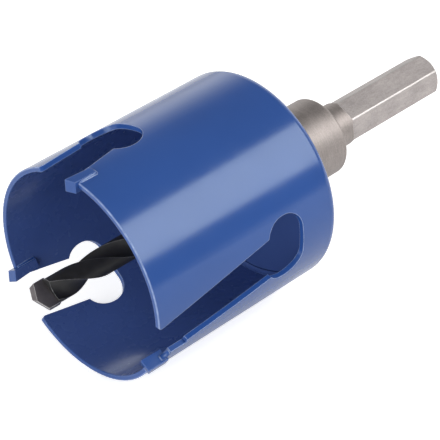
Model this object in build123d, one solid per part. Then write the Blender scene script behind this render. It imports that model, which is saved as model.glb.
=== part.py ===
from build123d import *
import math
import os

# A carbide-tipped hole saw: a slotted cup with three brazed tips and a welded base disc, screwed on
# an arbor whose hexagonal shank goes in a drill chuck and whose nose clamps a pilot drill.
#
# Each piece is modelled in the tool's own frame: Z is the axis, Z = 0 is the end of the shank, and
# the teeth point to +Z. Angles are in degrees round the axis, from the side that the saw lies on,
# counterclockwise as seen from the teeth, which is the way that the saw cuts. lie_down() then puts
# the saw on its side, with its teeth to -X and the end of its shank at the origin. All sizes in mm.

# Cup
cup_radius = 33.25
cup_wall = 1.6
cup_length = 70.5
cup_corner_radius = 2.8
cup_rim_round = 0.25

# Slots between the cup's three petals, with a wider round-ended window at the bottom of each
slot_width = 14.3
slot_skew = 9.9
slot_corner_radius = 1.3
slot_end_width = 21.4
slot_end_height = 13.5
long_slot_land = 14.3
long_slot_lead = 9.0
short_slot_depth = 23.1
short_slot_lead = 6.4

# Carbide tips, which stand out past the rim by slightly different amounts, as they are brazed
tip_count = 3
first_tip_angle = 62.0
tip_stand_out = 0.75
tip_radial_width = 4.0
tip_thickness = 3.2
tip_projections = (1.2, 2.2, 2.7)
tip_seat_depth = 6.6
tip_front_relief = 20.0
tip_side_relief = 0.12
tip_rake = 4.5
tip_edge_round = 0.2
gullet_reach = 2.6
gullet_depth = 12.5

# Base disc, welded inside the cup
disc_thickness = 4.1

# Arbor
thread_radius = 9.0
thread_length = 7.0
shoulder_width = 3.5
collar_length = 26.4
collar_edge_round = 1.0
nose_chamfer = 0.6
neck_length = 8.5
largest_neck_fillet = 3.0
hex_across_flats = 12.5
hex_corner_cut = 0.14
hex_length = 40.0
hex_flat_angle = 37.7
hex_cutter_radius = 10.0
shank_chamfer = 1.2

# Pilot drill
drill_radius = 4.0
drill_length = 106.3
drill_tail = 6.9
drill_tail_chamfer = 0.6
drill_point_angle = 118.0
plain_length_beyond_nose = 11.8
flute_lead = 54.0
flute_cut_radius = 4.8
flute_core_radius = 2.0
land_lag = 20.0

# Carbide plate across the drill's end
plate_overhang = 0.3
plate_thickness = 2.0
plate_height = 5.3
plate_root = 0.8
plate_angle = 62.0
plate_lip_angle = 25.0
plate_relief_angle = 22.0

# Set screw that clamps the drill in the arbor
screw_radius = 3.0
screw_recess = 1.1
screw_angle = -45.0
screw_setback = 13.0
screw_socket_across_flats = 3.0
screw_socket_depth = 3.5
screw_chamfer = 0.4
clamp_flat_depth = 0.5
clamp_flat_length = 9.0

# Fits
thread_clearance = 0.05
fit_clearance = 0.05
cup_hole_clearance = 0.25

# Stations along the axis
neck_z = hex_length
collar_z = neck_z + neck_length
cup_rear_z = collar_z + collar_length
rim_z = cup_rear_z + cup_length
nose_z = cup_rear_z + thread_length
screw_z = cup_rear_z - screw_setback
drill_rear_z = screw_z - drill_tail
flute_start_z = nose_z + plain_length_beyond_nose
drill_front_z = drill_rear_z + drill_length
flute_end_z = drill_front_z - plate_height

# Sizes that follow from the others
cup_inner_radius = cup_radius - cup_wall
cup_inner_corner = cup_corner_radius - cup_wall
long_slot_depth = cup_length - long_slot_land - slot_end_height / 2
tip_outer_radius = cup_radius + tip_stand_out
tip_inner_radius = tip_outer_radius - tip_radial_width
disc_chamfer = cup_inner_corner + 2 * fit_clearance
collar_radius = thread_radius + shoulder_width
bar_radius = hex_across_flats / 2 / math.cos(math.radians(30)) - hex_corner_cut
neck_fillet = min(largest_neck_fillet, collar_radius - bar_radius - 2 * collar_edge_round)
bore_radius = drill_radius + fit_clearance
plate_width = 2 * (drill_radius + plate_overhang)
clamp_flat_radius = drill_radius - clamp_flat_depth
screw_length = collar_radius - screw_recess - clamp_flat_radius

# How far a cutter runs past what it cuts, and how far in and out of the wall a radial one reaches
overrun = 3.0
inner_reach = 0.5 * cup_radius
outer_reach = 1.2 * cup_radius


def radial_plane(angle, radius, height):
    """A plane that faces outwards: its x runs round the cup, the way it cuts, and its y to the teeth."""
    turn = math.radians(angle)
    outward = Vector(math.cos(turn), math.sin(turn), 0)
    around = Vector(-math.sin(turn), math.cos(turn), 0)
    return Plane(origin=outward * radius + Vector(0, 0, height), x_dir=around, z_dir=outward)


def arc_angle(arc):
    """The angle of an arc measured on the outside of the cup."""
    return math.degrees(arc / cup_radius)


def laid_flat(arc):
    """Where a radial line through the end of an arc meets the plane that touches the cup."""
    return cup_radius * math.tan(arc / cup_radius)


def radial_cutter(outline, angle, height):
    """A cutter whose sides all run in to the tool's axis, from an outline drawn on the outside."""
    faces = []
    for reach in (inner_reach, outer_reach):
        narrowed = scale(outline, by=(reach / cup_radius, 1, 1))
        faces.append(radial_plane(angle, reach, height) * narrowed)
    return loft(faces, ruled=True)


def tip_angle(index):
    """Where a tip's cutting edge stands."""
    return first_tip_angle + index * 360 / tip_count


def slot_shape(index):
    """A slot's depth to the middle of its window, and its lead over the tip beside it."""
    if index == 0:
        return long_slot_depth, long_slot_lead
    return short_slot_depth, short_slot_lead


def slot_arc(lead, depth):
    """Distance round the cup from a tip's cutting edge to its slot's middle, at a depth from the rim."""
    return lead + depth * math.tan(math.radians(slot_skew))


def slot_cutter(index):
    """The straight part of a slot, open at the mouth, with the next petal's corner rounded."""
    depth, lead = slot_shape(index)
    middle_depth = depth / 2
    middle_arc = slot_arc(lead, middle_depth)

    def spot(at_depth, side):
        arc = slot_arc(lead, at_depth) - middle_arc + side
        return (laid_flat(arc), middle_depth - at_depth)

    half = slot_width / 2
    corner = spot(0, half)
    beyond_corner = (corner[0] + 2 * slot_corner_radius, corner[1] + slot_corner_radius / 4)
    outline = make_face(
        Polyline(
            spot(depth, -half),
            spot(depth, half),
            corner,
            beyond_corner,
            (beyond_corner[0], corner[1] + overrun),
            spot(-overrun, -half),
            close=True,
        )
    )
    outline = fillet(outline.vertices().sort_by_distance(corner)[0], slot_corner_radius)
    return radial_cutter(outline, tip_angle(index) + arc_angle(middle_arc), rim_z - middle_depth)


def window_cutter(index):
    """The round-ended window at the bottom of a slot."""
    depth, lead = slot_shape(index)
    outline = SlotOverall(2 * laid_flat(slot_end_width / 2), slot_end_height)
    return radial_cutter(outline, tip_angle(index) + arc_angle(slot_arc(lead, depth)), rim_z - depth)


def wall_box(index, start, end, depth):
    """A box through the wall and open at the mouth, from start to end ahead of a tip's cutting edge."""
    footprint = Pos((start + end) / 2, (overrun - depth) / 2) * Rectangle(end - start, depth + overrun)
    inside = radial_plane(tip_angle(index), cup_inner_radius - overrun, rim_z)
    return extrude(inside * footprint, cup_wall + 2 * overrun)


def saw_cup():
    body = Pos(0, 0, cup_rear_z) * Cylinder(
        cup_radius, cup_length, align=(Align.CENTER, Align.CENTER, Align.MIN)
    )
    body = fillet(body.edges().sort_by(Axis.Z)[0], cup_corner_radius)
    hollow = Pos(0, 0, cup_rear_z + cup_wall) * Cylinder(
        cup_inner_radius, cup_length, align=(Align.CENTER, Align.CENTER, Align.MIN)
    )
    hollow = fillet(hollow.edges().sort_by(Axis.Z)[0], cup_inner_corner)
    cup = body - hollow
    cup = fillet(cup.edges().filter_by(GeomType.CIRCLE).group_by(Axis.Z)[-1], cup_rim_round)
    cup -= Pos(0, 0, cup_rear_z) * Cylinder(thread_radius + cup_hole_clearance, 3 * cup_wall)
    for index in range(tip_count):
        cup -= slot_cutter(index)
        cup -= window_cutter(index)
        cup -= wall_box(index, -tip_thickness - fit_clearance, gullet_reach + overrun / 2, tip_seat_depth)
        cup -= wall_box(index, gullet_reach, gullet_reach + overrun, gullet_depth)
    return cup


def base_disc():
    floor_z = cup_rear_z + cup_wall
    disc = Pos(0, 0, floor_z) * Cylinder(
        cup_inner_radius - fit_clearance, disc_thickness, align=(Align.CENTER, Align.CENTER, Align.MIN)
    )
    disc = chamfer(disc.edges().sort_by(Axis.Z)[0], disc_chamfer)
    return disc - Pos(0, 0, floor_z) * Cylinder(thread_radius + thread_clearance, 3 * disc_thickness)


def cutting_tip(index):
    """A block raked back from its cutting edge, and relieved behind its front and outer faces."""
    front_drop = tip_thickness * math.tan(math.radians(tip_front_relief))
    projection = tip_projections[index]
    rake_run = (projection + tip_seat_depth) * math.tan(math.radians(tip_rake))
    side = make_face(
        Polyline(
            (0, projection),
            (-tip_thickness, projection - front_drop),
            (-tip_thickness, -tip_seat_depth + fit_clearance),
            (-rake_run, -tip_seat_depth + fit_clearance),
            close=True,
        )
    )
    leading = radial_plane(tip_angle(index), 0, rim_z)
    block = extrude(leading * side, tip_outer_radius + overrun)
    end = make_face(
        Polyline(
            (0, tip_inner_radius),
            (0, tip_outer_radius),
            (-tip_thickness, tip_outer_radius - tip_side_relief),
            (-tip_thickness, tip_inner_radius + tip_side_relief),
            close=True,
        )
    )
    across = Plane(origin=leading.origin, x_dir=leading.x_dir, z_dir=-leading.y_dir)
    tip = block & extrude(across * end, tip_seat_depth + overrun, both=True)
    return fillet(tip.edges(), tip_edge_round)


def turned(outline):
    """A solid turned round the tool's axis, from half its section: x is the radius, y the height."""
    return revolve(Plane.XZ * outline, Axis.Z)


def hex_flat_cutter(index):
    """What the milling cutter takes off the bar for one flat, with its rounded end by the neck."""
    centre_z = hex_length - hex_cutter_radius
    face = Pos(0, -centre_z / 2 - overrun / 2) * Rectangle(2 * hex_cutter_radius, centre_z + overrun)
    face += Circle(hex_cutter_radius)
    flat = radial_plane(hex_flat_angle + index * 60, hex_across_flats / 2, centre_z)
    return extrude(flat * face, bar_radius)


def arbor():
    """Shank, collar and threaded nose in one piece, bored from the nose for the drill."""
    bore_tip_z = drill_rear_z - bore_radius / math.tan(math.radians(drill_point_angle / 2))
    neck_fillet_start = (bar_radius, collar_z - neck_fillet)
    neck_fillet_end = (bar_radius + neck_fillet, collar_z)
    collar_round_start = (collar_radius - collar_edge_round, collar_z)
    collar_round_end = (collar_radius, collar_z + collar_edge_round)
    outline = [
        Polyline((0, 0), (bar_radius - shank_chamfer, 0), (bar_radius, shank_chamfer), neck_fillet_start),
        RadiusArc(neck_fillet_start, neck_fillet_end, neck_fillet),
        Line(neck_fillet_end, collar_round_start),
        RadiusArc(collar_round_start, collar_round_end, -collar_edge_round),
        Polyline(
            collar_round_end,
            (collar_radius, cup_rear_z - nose_chamfer),
            (collar_radius - nose_chamfer, cup_rear_z),
            (thread_radius, cup_rear_z),
            (thread_radius, nose_z - nose_chamfer),
            (thread_radius - nose_chamfer, nose_z),
            (bore_radius, nose_z),
            (bore_radius, drill_rear_z),
            (0, bore_tip_z),
            (0, 0),
        ),
    ]
    body = turned(make_face(outline))
    for index in range(6):
        body -= hex_flat_cutter(index)
    screw_hole = radial_plane(screw_angle, 0, screw_z) * Circle(screw_radius + thread_clearance)
    return body - extrude(screw_hole, collar_radius + overrun)


def drill_clamp_screw():
    """A set screw whose flat end bears on the drill's clamping flat."""
    seat = radial_plane(screw_angle, clamp_flat_radius, screw_z)
    screw = extrude(seat * Circle(screw_radius), screw_length)
    screw = chamfer(screw.edges().filter_by(GeomType.CIRCLE), screw_chamfer)
    socket_radius = clamp_flat_radius + screw_length - screw_socket_depth
    head = radial_plane(screw_angle, socket_radius, screw_z)
    socket = RegularPolygon(screw_socket_across_flats / 2, 6, major_radius=False)
    return screw - extrude(head * socket, screw_socket_depth + overrun)


def fluted_length():
    """The fluted part of the drill, twisted right-handed, with its lands just behind the plate."""
    section = Circle(drill_radius)
    for side in (-1, 1):
        section -= Pos(0, side * (flute_core_radius + flute_cut_radius)) * Circle(flute_cut_radius)
    length = flute_end_z - flute_start_z
    twist = 360 * length / flute_lead
    return Solid.extrude_linear_with_rotation(
        (Pos(0, 0, flute_start_z) * Rot(0, 0, plate_angle - land_lag - twist) * section).face(),
        center=(0, 0, flute_start_z),
        normal=(0, 0, length),
        angle=twist,
    )


def plate_slot(clearance):
    """The room that the carbide plate takes in the drill's end, with a clearance all round."""
    return Pos(0, 0, flute_end_z - plate_root - clearance) * Rot(0, 0, plate_angle) * Box(
        plate_width + 2 * clearance,
        plate_thickness + 2 * clearance,
        plate_height + plate_root + 2 * clearance,
        align=(Align.CENTER, Align.CENTER, Align.MIN),
    )


def pilot_drill():
    plain = Pos(0, 0, drill_rear_z) * Cylinder(
        drill_radius, flute_start_z - drill_rear_z, align=(Align.CENTER, Align.CENTER, Align.MIN)
    )
    plain = chamfer(plain.edges().sort_by(Axis.Z)[0], drill_tail_chamfer)
    flat = radial_plane(screw_angle, clamp_flat_radius, screw_z)
    plain -= extrude(flat * Rectangle(2 * drill_radius, clamp_flat_length), drill_radius)
    return plain + fluted_length() - plate_slot(fit_clearance / 2)


def pilot_drill_tip():
    """A plate with a cutting lip on each side of the chisel edge, relieved behind both lips."""
    lip = math.tan(math.radians(plate_lip_angle))
    relief = math.tan(math.radians(plate_relief_angle))
    plate = Box(plate_width, plate_thickness, 2 * (plate_height + plate_root))
    for side in (-1, 1):
        ground = Plane(origin=(0, 0, 0), z_dir=(side * lip, -side * relief, 1))
        plate = split(plate, bisect_by=ground, keep=Keep.BOTTOM)
    placed = Pos(0, 0, drill_front_z) * Rot(0, 0, plate_angle) * plate
    return placed & plate_slot(0)


def lie_down(piece):
    """Turn the tool on its side: its teeth to -X, and angle 0 downwards."""
    return Plane(origin=(0, 0, 0), x_dir=(0, 0, -1), z_dir=(-1, 0, 0)).location * piece


pieces = {
    "saw_cup": saw_cup(),
    "base_disc": base_disc(),
    "arbor": arbor(),
    "pilot_drill": pilot_drill(),
    "pilot_drill_tip": pilot_drill_tip(),
    "drill_clamp_screw": drill_clamp_screw(),
}
for index in range(tip_count):
    pieces[f"cutting_tip_{index + 1}"] = cutting_tip(index)

os.makedirs("parts", exist_ok=True)
for name, piece in pieces.items():
    solid = lie_down(piece)
    solid.label = name
    export_step(solid, f"parts/{name}.step")
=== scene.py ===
import math

import bmesh
import bpy
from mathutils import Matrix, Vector


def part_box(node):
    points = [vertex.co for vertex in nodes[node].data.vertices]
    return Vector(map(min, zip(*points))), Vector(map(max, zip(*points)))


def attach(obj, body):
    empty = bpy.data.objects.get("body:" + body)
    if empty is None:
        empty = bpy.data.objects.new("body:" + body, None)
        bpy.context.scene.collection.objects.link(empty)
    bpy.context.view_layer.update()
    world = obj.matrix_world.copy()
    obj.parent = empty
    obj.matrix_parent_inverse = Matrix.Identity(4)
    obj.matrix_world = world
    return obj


# The looks of the hole saw: its materials, the braze round the tips and the weld in the cup, and a
# white studio with the photograph's light and camera. Sizes are in metres, as in the frame.

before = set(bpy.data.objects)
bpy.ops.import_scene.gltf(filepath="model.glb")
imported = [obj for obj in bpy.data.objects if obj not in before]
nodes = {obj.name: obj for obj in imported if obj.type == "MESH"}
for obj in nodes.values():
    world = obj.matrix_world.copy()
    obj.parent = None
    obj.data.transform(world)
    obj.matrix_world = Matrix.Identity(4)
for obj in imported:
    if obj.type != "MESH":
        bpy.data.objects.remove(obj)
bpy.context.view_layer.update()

# Where the saw is. Its axis is X, the shank's end is at X = 0 and the teeth face -X.
RIM_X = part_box("saw_cup")[0].x
REAR_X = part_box("saw_cup")[1].x
CUP_RADIUS = (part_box("saw_cup")[1].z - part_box("saw_cup")[0].z) / 2
CUP_WALL = 0.0016
CUP_INSIDE = CUP_RADIUS - CUP_WALL
DISC_FACE_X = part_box("base_disc")[0].x
FLOOR_Z = -CUP_RADIUS

# Angles round the axis start at the side that the saw lies on, and grow the way it cuts.
TIP_ANGLES = (62.0, 182.0, 302.0)
FLAT_ANGLE = 37.7


# ---------------------------------------------------------------- nodes

class Nodes:
    """Makes the nodes of one tree and links them."""

    def __init__(self, tree):
        self.tree = tree
        self.tree.nodes.clear()

    def add(self, kind, **settings):
        node = self.tree.nodes.new(kind)
        for key, value in settings.items():
            setattr(node, key, value)
        return node

    def link(self, source, target):
        self.tree.links.new(source, target)

    def put(self, target, value):
        """Links a socket, or sets a constant."""
        if hasattr(value, "is_output"):
            self.link(value, target)
        else:
            target.default_value = value

    def math(self, operation, first, second=0.0):
        node = self.add("ShaderNodeMath", operation=operation)
        self.put(node.inputs[0], first)
        self.put(node.inputs[1], second)
        return node.outputs[0]

    def dot(self, first, second):
        node = self.add("ShaderNodeVectorMath", operation="DOT_PRODUCT")
        self.put(node.inputs[0], first)
        self.put(node.inputs[1], second)
        return node.outputs["Value"]

    def split(self, vector):
        """The three parts of a vector."""
        node = self.add("ShaderNodeSeparateXYZ")
        self.link(vector, node.inputs[0])
        return node.outputs

    def spread(self, value, low, high, to_low=0.0, to_high=1.0, smooth=False):
        """Turns the range low..high of a value into to_low..to_high."""
        node = self.add("ShaderNodeMapRange")
        if smooth:
            node.interpolation_type = "SMOOTHSTEP"
        self.put(node.inputs["Value"], value)
        for key, number in zip(("From Min", "From Max", "To Min", "To Max"), (low, high, to_low, to_high)):
            node.inputs[key].default_value = number
        return node.outputs[0]

    def pick(self, amount, first, second):
        """Mixes two shaders."""
        node = self.add("ShaderNodeMixShader")
        for socket, source in zip(node.inputs, (amount, first, second)):
            self.link(source, socket)
        return node.outputs[0]


class Material(Nodes):
    """The nodes of a material with one Principled shader."""

    def __init__(self, name):
        self.material = bpy.data.materials.new(name)
        self.material.use_nodes = True
        super().__init__(self.material.node_tree)
        self.output = self.add("ShaderNodeOutputMaterial")
        self.shader = self.add("ShaderNodeBsdfPrincipled")
        self.link(self.shader.outputs[0], self.output.inputs["Surface"])

    def look(self, socket, value):
        self.put(self.shader.inputs[socket], value)

    def position(self, scale=(1, 1, 1), turn=(0, 0, 0)):
        """A place on the piece, in its own frame, stretched and turned."""
        place = self.add("ShaderNodeTexCoord")
        mapping = self.add("ShaderNodeMapping")
        mapping.inputs["Scale"].default_value = scale
        mapping.inputs["Rotation"].default_value = turn
        self.link(place.outputs["Object"], mapping.inputs["Vector"])
        return mapping.outputs[0]

    def noise(self, scale, detail=2.0, roughness=0.5, vector=None):
        node = self.add("ShaderNodeTexNoise")
        node.inputs["Scale"].default_value = scale
        node.inputs["Detail"].default_value = detail
        node.inputs["Roughness"].default_value = roughness
        self.link(vector or self.position(), node.inputs["Vector"])
        return node.outputs[0]

    def mix(self, amount, first, second):
        """Mixes two colours."""
        node = self.add("ShaderNodeMix", data_type="RGBA")
        self.put(node.inputs["Factor"], amount)
        for key, value in ((6, first), (7, second)):
            self.put(node.inputs[key], value if hasattr(value, "is_output") else (*value, 1.0))
        return node.outputs[2]

    def bump(self, height, strength, distance, normal):
        """Bumps on top of a normal."""
        node = self.add("ShaderNodeBump")
        node.inputs["Strength"].default_value = strength
        node.inputs["Distance"].default_value = distance
        self.link(height, node.inputs["Height"])
        self.link(normal, node.inputs["Normal"])
        return node.outputs[0]

    def rounded(self, radius):
        """A normal that rounds the edges over."""
        node = self.add("ShaderNodeBevel", samples=8)
        node.inputs["Radius"].default_value = radius
        return node.outputs[0]

    def openness(self, reach):
        """1 out in the open, less where something within reach hems the surface in."""
        node = self.add("ShaderNodeAmbientOcclusion", samples=4)
        node.inputs["Distance"].default_value = reach
        return node.outputs["AO"]

    def edges(self, radius, sharp, flat):
        """1 along outer edges, where the rounded normal leans off; 0 elsewhere and in inner corners."""
        plain = self.add("ShaderNodeNewGeometry").outputs["Normal"]
        lean = self.dot(self.rounded(radius), plain)
        outer = self.spread(self.openness(2 * radius), 0.72, 0.92)
        return self.math("MULTIPLY", self.spread(lean, flat, sharp), outer)


# ---------------------------------------------------------------- materials

BLUE = (0.0240, 0.0755, 0.280)
INSIDE_BLUE = (0.049, 0.090, 0.275)
# Pale blue for edges: partly where the paint runs thin, partly a painted highlight
THIN_PAINT_AND_HIGHLIGHT_BLUE = (0.40, 0.50, 0.76)
COAT_TINT = (0.80, 0.92, 1.0, 1.0)
RING_STEEL = (0.335, 0.300, 0.284)
FLAT_STEEL = (0.470, 0.433, 0.422)
CORNER_STEEL = (0.46, 0.435, 0.42)
# Pale steel for a painted highlight along the edges
STEEL_EDGE_GLINT = (0.90, 0.87, 0.85)
# Edge colours: rubbed-through oxide, and a painted highlight
OXIDE, RUBBED_OXIDE_AND_GLINT = (0.017, 0.0165, 0.0175), (0.34, 0.34, 0.345)
SCREW_OXIDE, RUBBED_SCREW_AND_GLINT = (0.014, 0.014, 0.015), (0.12, 0.12, 0.12)
DARK_CARBIDE, LIGHT_CARBIDE = (0.125, 0.113, 0.120), (0.165, 0.150, 0.157)
# Near-white for a painted highlight along the carbide's edges
CARBIDE_EDGE_GLINT = (0.92, 0.90, 0.88)

# Scales that stretch a noise round the axis, into rings, or along it, into lines
RINGS = (1.0, 0.10, 0.10)
LINES = (0.2, 1.0, 1.0)


def toned(colour, factor):
    return tuple(part * factor for part in colour)


def rim_line(made, wide=0.00045, narrow=0.00015):
    """1 along the cup's rounded outer edge at the mouth, 0 elsewhere."""
    x, y, z = made.split(made.add("ShaderNodeTexCoord").outputs["Object"])

    def distance(first, second):
        squares = [made.math("MULTIPLY", part, part) for part in (first, second)]
        return made.math("SQRT", made.math("ADD", *squares))

    inward = made.math("SUBTRACT", CUP_RADIUS, distance(y, z))
    back = made.math("SUBTRACT", x, RIM_X)
    return made.spread(distance(inward, back), wide, narrow)


def paint(name, colour, gloss=0.17, thin_paint_and_highlight_edges=1.0, rim=0.0):
    """Glossy blue enamel, sprayed over the saw: faint orange peel, and paler on edges, partly where it runs
    thin and partly a painted highlight.
    """
    made = Material(name)
    cloud = made.spread(made.noise(45.0, 3.0), 0.35, 0.65)
    body = made.mix(cloud, colour, toned(colour, 1.07))
    # Paler along edges and the mouth's rim: the paint runs thin there, and a painted highlight is laid on
    # top.
    edge = made.edges(0.00045, 0.78, 0.985)
    if rim:
        edge = made.math("MAXIMUM", edge, made.math("MULTIPLY", rim_line(made), rim))
    patches = made.spread(made.noise(700.0, 4.0), 0.3, 0.7, 0.55, 1.0)
    thin_paint_and_highlight = made.math("MULTIPLY", made.math("MULTIPLY", edge, patches), thin_paint_and_highlight_edges)
    made.look("Base Color", made.mix(thin_paint_and_highlight, body, THIN_PAINT_AND_HIGHLIGHT_BLUE))
    made.look("Roughness", made.spread(made.noise(160.0, 4.0), 0.3, 0.7, gloss - 0.02, gloss + 0.04))
    peel = made.bump(made.noise(620.0, 1.5), 0.10, 0.00008, made.rounded(0.0003))
    made.look("Normal", made.bump(made.noise(2200.0, 3.0), 0.16, 0.00002, peel))
    made.look("IOR", 1.5)
    made.look("Specular Tint", COAT_TINT)
    return made.material


def machined_steel(name, colour, along, roughness, line_scale, line_depth):
    """Satin steel with the fine rings or lines that a tool leaves along one direction."""
    made = Material(name)
    lines = made.noise(line_scale, 3.0, 0.65, made.position(along))
    cloud = made.noise(130.0, 4.0, 0.6)
    grain = made.noise(2400.0, 3.0, 0.6)
    fine = made.math("ADD", made.math("MULTIPLY", lines, 0.25), made.math("MULTIPLY", grain, 0.35))
    shade = made.math("ADD", fine, made.math("MULTIPLY", cloud, 0.4))
    body = made.mix(made.spread(shade, 0.40, 0.60), toned(colour, 0.80), toned(colour, 1.14))
    # Painted shade: darker in hollows and corners, where something lies close to the surface.
    body = made.mix(made.spread(made.openness(0.0014), 0.5, 0.9), toned(colour, 0.35), body)
    # Painted highlight: a pale glint along the outer edges.
    edge_glint = made.math("MULTIPLY", made.edges(0.0004, 0.75, 0.97), 0.6)
    made.look("Base Color", made.mix(edge_glint, body, STEEL_EDGE_GLINT))
    made.look("Roughness", made.spread(shade, 0.3, 0.7, roughness - 0.05, roughness + 0.05))
    made.look("Metallic", 1.0)
    ridged = made.bump(lines, line_depth, 0.00003, made.rounded(0.00015))
    made.look("Normal", made.bump(grain, 0.35, 0.00002, ridged))
    return made.material


def black_oxide(name, colour, edge_colour, roughness):
    """Black oxide on steel: satin, faintly mottled, and paler on its edges, partly rubbed through and partly
    a painted highlight.
    """
    made = Material(name)
    mottle = made.noise(380.0, 5.0, 0.6)
    body = made.mix(made.spread(mottle, 0.35, 0.65), toned(colour, 0.8), toned(colour, 1.25))
    patches = made.spread(made.noise(900.0, 3.0), 0.35, 0.65, 0.3, 1.0)
    # Paler edges: rubbed oxide, and a painted highlight on them.
    rubbed_and_glint = made.math("MULTIPLY", made.edges(0.00045, 0.74, 0.98), patches)
    made.look("Base Color", made.mix(rubbed_and_glint, body, edge_colour))
    made.look("Roughness", made.spread(mottle, 0.3, 0.7, roughness - 0.06, roughness + 0.06))
    made.look("Metallic", made.math("MULTIPLY", rubbed_and_glint, 0.6))
    made.look("Normal", made.bump(made.noise(1800.0, 4.0), 0.4, 0.00003, made.rounded(0.00012)))
    made.look("IOR", 1.5)
    return made.material


def ground_carbide(name):
    """Carbide ground with a fine wheel: dark, a little violet, with straight fine scratches."""
    made = Material(name)
    scratch = made.noise(900.0, 4.0, 0.7, made.position((6.0, 1.0, 1.0), (0.0, 0.5, 0.3)))
    cloud = made.spread(made.noise(300.0, 3.0), 0.35, 0.65)
    body = made.mix(cloud, DARK_CARBIDE, LIGHT_CARBIDE)
    # Painted highlight: pale glints along the ground edges.
    made.look("Base Color", made.mix(made.edges(0.0005, 0.74, 0.985), body, CARBIDE_EDGE_GLINT))
    made.look("Roughness", made.spread(scratch, 0.3, 0.7, 0.34, 0.46))
    made.look("Metallic", 0.7)
    made.look("Normal", made.bump(scratch, 0.15, 0.00002, made.rounded(0.0001)))
    return made.material


cup_paint = paint("cup_paint", BLUE, rim=0.75)
inside_paint = paint("inside_paint", INSIDE_BLUE, gloss=0.26, thin_paint_and_highlight_edges=0.6)
weld_paint = paint("weld_paint", INSIDE_BLUE, gloss=0.22, thin_paint_and_highlight_edges=0.0)
tip_paint = paint("tip_paint", BLUE)
ring_steel = machined_steel("turned_steel", RING_STEEL, RINGS, 0.55, 1900.0, 0.05)
flat_steel = machined_steel("milled_steel", FLAT_STEEL, LINES, 0.66, 1500.0, 0.06)
corner_steel = machined_steel("corner_steel", CORNER_STEEL, LINES, 0.44, 1500.0, 0.04)
drill_black = black_oxide("drill_black", OXIDE, RUBBED_OXIDE_AND_GLINT, 0.56)
screw_black = black_oxide("screw_black", SCREW_OXIDE, RUBBED_SCREW_AND_GLINT, 0.42)
carbide = ground_carbide("drill_carbide")


# ---------------------------------------------------------------- the CAD pieces

def dress(name, *materials):
    """Gives a CAD piece its materials, with the first on every face."""
    piece = nodes[name]
    piece.data.materials.clear()
    for material in materials:
        piece.data.materials.append(material)
    for face in piece.data.polygons:
        face.material_index = 0
    return piece


def dull_inside(piece):
    """Puts the second material, a paler, greyer and rougher blue, on the faces that look inwards."""
    for face in piece.data.polygons:
        middle = face.center
        outward = face.normal.y * middle.y + face.normal.z * middle.z
        if outward < -0.9 * math.hypot(middle.y, middle.z):
            face.material_index = 1


def mill_shank(piece, flats_end_x=-0.0405, step=math.radians(60)):
    """The second material on the shank's six flats, the third on the corners that are left of the bar."""
    for face in piece.data.polygons:
        across = math.hypot(face.normal.y, face.normal.z)
        turn = math.atan2(-face.normal.y, -face.normal.z) - math.radians(FLAT_ANGLE)
        off = (turn + step / 2) % step - step / 2
        if face.center.x > flats_end_x and across > 0.999:
            face.material_index = 1 if abs(off) < 0.01 else 2


dull_inside(dress("saw_cup", cup_paint, inside_paint))
dress("base_disc", weld_paint)
for number in (1, 2, 3):
    dull_inside(dress(f"cutting_tip_{number}", tip_paint, inside_paint))
dress("pilot_drill", drill_black)
dress("pilot_drill_tip", carbide)
dress("drill_clamp_screw", screw_black)
mill_shank(dress("arbor", ring_steel, flat_steel, corner_steel))


# ---------------------------------------------------------------- braze and weld

# Each tip sits in a seat in the rim. Beside it, a place is given by three lengths: back from the
# rim, round the cup ahead of the tip's cutting edge, and out from the axis.
TIP_REAR = -0.00322
SEAT_DEPTH = 0.00658
RAKE = math.tan(math.radians(4.5))

# The beads' legs on the two sides of the wall, and how far the filling stands out from the wall
OUTSIDE_LEG = 0.00055
INSIDE_LEG = 0.0009
OUTSIDE_PROUD = 0.00008
INSIDE_PROUD = 0.00012

# The edge of a short slot, which starts behind the tip's cutting edge and slants ahead of the tip
SLOT_EDGE_START = -0.00075
SLOT_EDGE_SLOPE = math.tan(math.radians(9.9))
SLOT_MEETS_TIP = 0.0019

# The weld between the base disc and the cup
WELD_LEG = 0.0013
WELD_SUNK = 0.0001
WELD_RIPPLES = 60
WELD_RIPPLE = 0.05


def beside_tip(angle):
    """A function that turns a place beside a tip into a point of the frame."""
    turn = math.radians(angle)
    outward = Vector((0, -math.sin(turn), -math.cos(turn)))
    around = Vector((0, -math.cos(turn), math.sin(turn)))
    return lambda back, ahead, out: Vector((RIM_X + back, 0, 0)) + around * ahead + outward * out


def surface_out(radius, ahead):
    """How far out the cup's wall is, at a place ahead of a tip's cutting edge."""
    return math.sqrt(radius * radius - ahead * ahead)


def join_rings(bm, first, second, smooth=()):
    """A face from each side of one ring to the next ring, some of them shaded smooth."""
    count = len(first)
    for index in range(count):
        following = (index + 1) % count
        face = bm.faces.new((first[index], first[following], second[following], second[index]))
        face.smooth = index in smooth


def finish_mesh(bm, name, material):
    bmesh.ops.recalc_face_normals(bm, faces=bm.faces)
    mesh = bpy.data.meshes.new(name)
    bm.to_mesh(mesh)
    bm.free()
    mesh.materials.append(material)
    piece = bpy.data.objects.new(name, mesh)
    bpy.context.scene.collection.objects.link(piece)
    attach(piece, "root")


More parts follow.
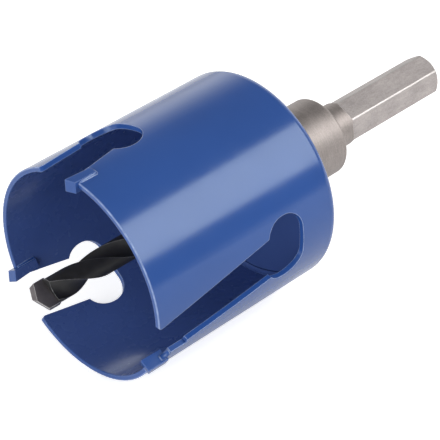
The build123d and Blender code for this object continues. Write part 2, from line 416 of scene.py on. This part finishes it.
def hollow_fillet(bm, place, corners, first, second, legs, sunk=0.00008, steps=6):
    """A bead of braze in the corner between two surfaces, which leave the corner along first and second."""
    first, second = Vector(first).normalized(), Vector(second).normalized()
    rings = []
    for corner, (long, wide) in zip(corners, legs):
        corner = Vector(corner)
        ring = [corner - (first + second) * sunk, corner + first * long - second * sunk]
        for step in range(steps + 1):
            turn = step / steps * math.pi / 2
            ring.append(corner + first * long * (1 - math.sin(turn)) + second * wide * (1 - math.cos(turn)))
        ring.append(corner + second * wide - first * sunk)
        rings.append([bm.verts.new(place(*spot)) for spot in ring])
    for before, after in zip(rings, rings[1:]):
        join_rings(bm, before, after, smooth=range(2, 2 + steps))
    bm.faces.new(rings[0])
    bm.faces.new(list(reversed(rings[-1])))


def wedge(bm, place, outline, radii):
    """A flat-sided filling between a tip and the wall ahead of it."""
    inner, outer = ([bm.verts.new(place(back, ahead, out)) for back, ahead in outline] for out in radii)
    join_rings(bm, inner, outer)
    bm.faces.new(list(reversed(inner)))
    bm.faces.new(outer)


def braze_beads(bm, place, radius, way, leg):
    """The beads behind a tip and below it, on one side of the wall. They swell and end thin."""
    rear_out = surface_out(radius, TIP_REAR)
    slope = -TIP_REAR / rear_out
    past = 0.6 * leg
    behind = [(0.0003, 0.5), (0.0012, 0.8), (0.0035, 1.0), (SEAT_DEPTH, 1.0), (SEAT_DEPTH + past, 0.15)]
    below = [(TIP_REAR - past, 0.15), (TIP_REAR, 1.0), (-0.0022, 1.1), (-0.0012, 1.0), (-0.0007, 0.8)]
    hollow_fillet(
        bm, place,
        [(depth, TIP_REAR, rear_out) for depth, _ in behind],
        (0, 0, way), (0, -1, -slope),
        [(leg * share, leg * share) for _, share in behind],
    )
    hollow_fillet(
        bm, place,
        [(SEAT_DEPTH, ahead, surface_out(radius, ahead)) for ahead, _ in below],
        (0, 0, way), (1, 0, 0),
        [(leg * share, leg * share) for _, share in below],
    )


def gullet_filling(bm, place, radii, up=0.0023, ahead=0.0030):
    """The hollow filling at the foot of the tip beside the long slot, in the corner of its gullet."""
    foot = -(SEAT_DEPTH + 0.0012) * RAKE
    corners = [(SEAT_DEPTH, foot, out) for out in radii]
    hollow_fillet(bm, place, corners, (-1, RAKE, 0), (0, 1, 0), [(up, ahead)] * 2, steps=10)


def slot_filling(bm, place, radii, deeper=0.0001):
    """The filling between a tip and the edge of a short slot, which runs close ahead of it."""
    outline = [
        (SLOT_MEETS_TIP, SLOT_EDGE_START + SLOT_MEETS_TIP * SLOT_EDGE_SLOPE),
        (SEAT_DEPTH + deeper, SLOT_EDGE_START + SEAT_DEPTH * SLOT_EDGE_SLOPE),
        (SEAT_DEPTH + deeper, -0.0012),
        (SLOT_MEETS_TIP, -0.0008),
    ]
    wedge(bm, place, outline, radii)


def tip_braze(number, angle):
    """The braze round one tip: beads behind and below it on both sides of the wall, and a filling ahead."""
    place = beside_tip(angle)
    bm = bmesh.new()
    braze_beads(bm, place, CUP_RADIUS, 1, OUTSIDE_LEG)
    braze_beads(bm, place, CUP_INSIDE, -1, INSIDE_LEG)
    fill = gullet_filling if number == 1 else slot_filling
    fill(bm, place, (CUP_INSIDE - INSIDE_PROUD, CUP_RADIUS + OUTSIDE_PROUD))
    finish_mesh(bm, f"tip_braze_{number}", tip_paint)


def disc_weld(steps=6, turns=180):
    """The weld bead in the corner between the base disc's face and the inside of the cup."""
    bm = bmesh.new()
    rings = []
    for index in range(turns):
        turn = index / turns * 2 * math.pi
        leg = WELD_LEG * (1 + WELD_RIPPLE * math.sin(WELD_RIPPLES * turn))
        section = [(WELD_SUNK, WELD_SUNK)]
        for step in range(steps + 1):
            angle = step / steps * math.pi / 2
            section.append((-leg * (1 - math.sin(angle)), -leg * (1 - math.cos(angle))))
        outward = Vector((0, -math.sin(turn), -math.cos(turn)))
        ring = [Vector((DISC_FACE_X + along, 0, 0)) + outward * (CUP_INSIDE + out) for along, out in section]
        rings.append([bm.verts.new(spot) for spot in ring])
    for before, after in zip(rings, rings[1:] + rings[:1]):
        join_rings(bm, before, after, smooth=range(1, 1 + steps))
    finish_mesh(bm, "disc_weld", weld_paint)


for number, angle in enumerate(TIP_ANGLES, 1):
    tip_braze(number, angle)
disc_weld()


# ---------------------------------------------------------------- floor and studio

FLOOR_HALF = 6.0
FLOOR_GREYS = ((0.80, 0.80, 0.80), (0.82, 0.82, 0.82))
WHITE = (1.0, 1.0, 1.0, 1.0)

# What the floor gives off of its own: to the camera, and at most to what mirrors it, less near the saw as a
# painted shadow
FLOOR_TO_CAMERA = 0.62
FLOOR_TO_MIRRORS = 0.48

# The pale backdrop low behind the saw: which way it is, between which heights of a direction it
# fades out upwards, how bright it is, and how bright the rest of the room is
BACKDROP_SIDE = Vector((0.62, 0.78, 0.0))
BACKDROP_FADE = (0.17, 0.64)
BACKDROP = 1.65
ROOM = 0.265


def floor_material():
    """A pale floor that the camera sees as white, with the saw's shadow kept."""
    made = Material("floor_white")
    made.look("Base Color", made.mix(made.spread(made.noise(35.0, 3.0), 0.3, 0.7), *FLOOR_GREYS))
    made.look("Roughness", 0.9)
    made.look("Specular IOR Level", 0.1)
    ray = made.add("ShaderNodeLightPath").outputs
    to_camera = made.math("MULTIPLY", ray["Is Camera Ray"], FLOOR_TO_CAMERA)
    # Painted shadow: the glow that mirrors see fades where the saw hems the floor in.
    glow_with_painted_shadow = made.spread(made.openness(0.2), 0.2, 1.0, 0.0, FLOOR_TO_MIRRORS)
    to_mirrors = made.math("MULTIPLY", glow_with_painted_shadow, ray["Is Glossy Ray"])
    glow = made.add("ShaderNodeEmission")
    made.put(glow.inputs["Color"], WHITE)
    made.put(glow.inputs["Strength"], made.math("ADD", to_camera, to_mirrors))
    lit = made.add("ShaderNodeAddShader")
    made.link(made.shader.outputs[0], lit.inputs[0])
    made.link(glow.outputs[0], lit.inputs[1])
    seen = made.math("MAXIMUM", ray["Is Camera Ray"], ray["Is Glossy Ray"])
    made.link(made.pick(seen, made.shader.outputs[0], lit.outputs[0]), made.output.inputs["Surface"])
    return made.material


def lay_floor():
    corners = [(x * FLOOR_HALF, y * FLOOR_HALF, FLOOR_Z) for x, y in ((-1, -1), (1, -1), (1, 1), (-1, 1))]
    mesh = bpy.data.meshes.new("floor")
    mesh.from_pydata(corners, [], [(0, 1, 2, 3)])
    mesh.materials.append(floor_material())
    floor = bpy.data.objects.new("floor", mesh)
    bpy.context.scene.collection.objects.link(floor)


def studio_world():
    """White to the camera. To everything else, a pale backdrop low behind the saw, in a dimmer room."""
    world = bpy.data.worlds.new("studio")
    bpy.context.scene.world = world
    world.use_nodes = True
    made = Nodes(world.node_tree)
    direction = made.add("ShaderNodeTexCoord").outputs["Generated"]
    high_up = made.spread(made.split(direction)["Z"], *BACKDROP_FADE, smooth=True)
    low_down = made.math("SUBTRACT", 1.0, high_up)
    behind = made.spread(made.dot(direction, BACKDROP_SIDE), 0.0, 0.7, smooth=True)
    strength = made.spread(made.math("MULTIPLY", low_down, behind), 0.0, 1.0, ROOM, BACKDROP)
    room = made.add("ShaderNodeBackground")
    seen = made.add("ShaderNodeBackground")
    for shade in (room, seen):
        made.put(shade.inputs["Color"], WHITE)
    made.link(strength, room.inputs["Strength"])
    to_camera = made.add("ShaderNodeLightPath").outputs["Is Camera Ray"]
    shown = made.pick(to_camera, room.outputs[0], seen.outputs[0])
    made.link(shown, made.add("ShaderNodeOutputWorld").inputs["Surface"])


lay_floor()
studio_world()


# ---------------------------------------------------------------- lights and camera

# The camera, from a fit to the photograph. The focal length is for a sensor 36 mm wide.
CAMERA_FROM_RIM = Vector((-0.28395, -0.34945, 0.3668))
LOOK = Vector((0.5507, 0.5675, -0.6121))
LENS = 169.5
SENSOR_WIDTH = 36.0


def softbox(name, direction, distance, size, radiance, along):
    """A rectangular lamp that faces the cup. Its width runs along the given direction."""
    width, height = size
    middle = Vector(((RIM_X + REAR_X) / 2, 0, 0))
    back = Vector(direction).normalized()
    side = Vector(along)
    side = (side - back * side.dot(back)).normalized()
    lamp = bpy.data.lights.new(name, "AREA")
    lamp.shape = "RECTANGLE"
    lamp.size = width
    lamp.size_y = height
    lamp.energy = radiance * width * height * math.pi
    piece = bpy.data.objects.new(name, lamp)
    bpy.context.scene.collection.objects.link(piece)
    turn = piece.matrix_world.to_3x3()
    turn.col[0], turn.col[1], turn.col[2] = side, back.cross(side), back
    piece.matrix_world = turn.to_4x4()
    piece.location = middle + back * distance


def photo_camera():
    data = bpy.data.cameras.new("camera")
    data.lens = LENS
    data.sensor_width = SENSOR_WIDTH
    data.clip_start = 0.01
    data.clip_end = 50.0
    camera = bpy.data.objects.new("camera", data)
    bpy.context.scene.collection.objects.link(camera)
    camera.location = Vector((RIM_X, 0, 0)) + CAMERA_FROM_RIM
    camera.rotation_mode = "QUATERNION"
    camera.rotation_quaternion = LOOK.to_track_quat("-Z", "Y")
    bpy.context.scene.camera = camera


softbox("key_light", (0.554, -0.574, 0.604), 1.0, (0.60, 0.64), 5.45, along=(1, 0, 0))
softbox("front_light", (-1.0, -0.25, 0.35), 1.3, (1.1, 1.1), 3.8, along=(0, 1, 0))
photo_camera()

bpy.context.scene.view_settings.view_transform = "Standard"
